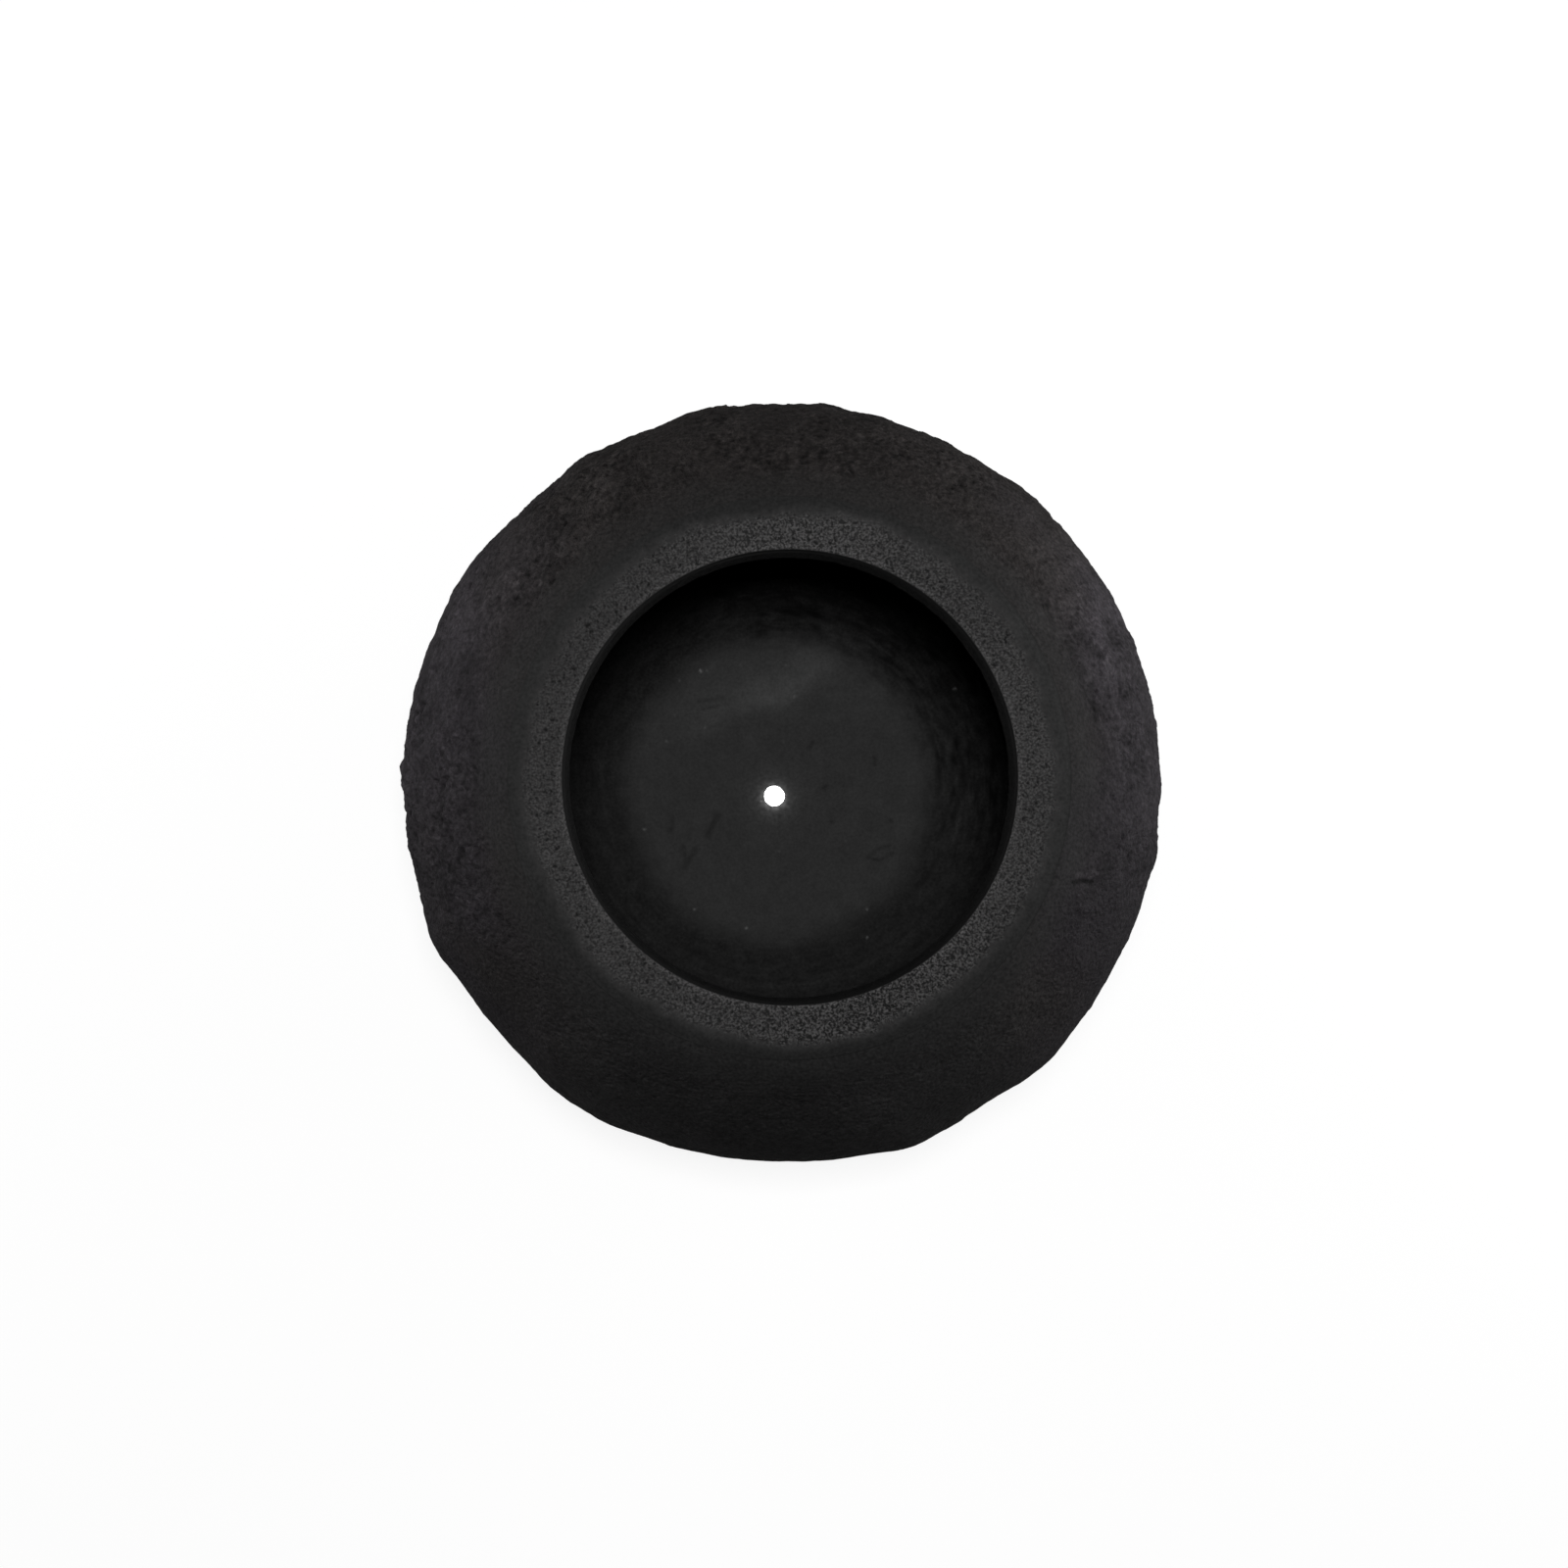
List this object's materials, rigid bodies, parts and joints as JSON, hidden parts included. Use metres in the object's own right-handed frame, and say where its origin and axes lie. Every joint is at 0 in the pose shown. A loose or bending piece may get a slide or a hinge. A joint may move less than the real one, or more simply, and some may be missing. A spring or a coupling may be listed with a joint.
{
  "type": "bowl planter",
  "caption": "Squat round black garden bowl with a full belly, a flat gritty ring round its narrower mouth and a drain hole in the floor.",
  "frame": {"origin": "centre of the flat face that the bowl rests on", "axes": "+Z up along the bowl's axis, out of the mouth; +X to the right and +Y up in a view straight down the mouth"},
  "size_m": [0.4558, 0.456, 0.25],
  "materials": {
    "body_clay": "matt black fibre clay, hand-worked: lumpy and pitted on the belly, smoothed on the shoulder, trowelled inside",
    "rim_clay": "matt charcoal fibre clay ground flat, so that its open grit shows as fine black specks"
  },
  "bodies": {
    "root": {"bowl_body": "body_clay", "rim_ring": "rim_clay"}
  },
  "joints": []
}
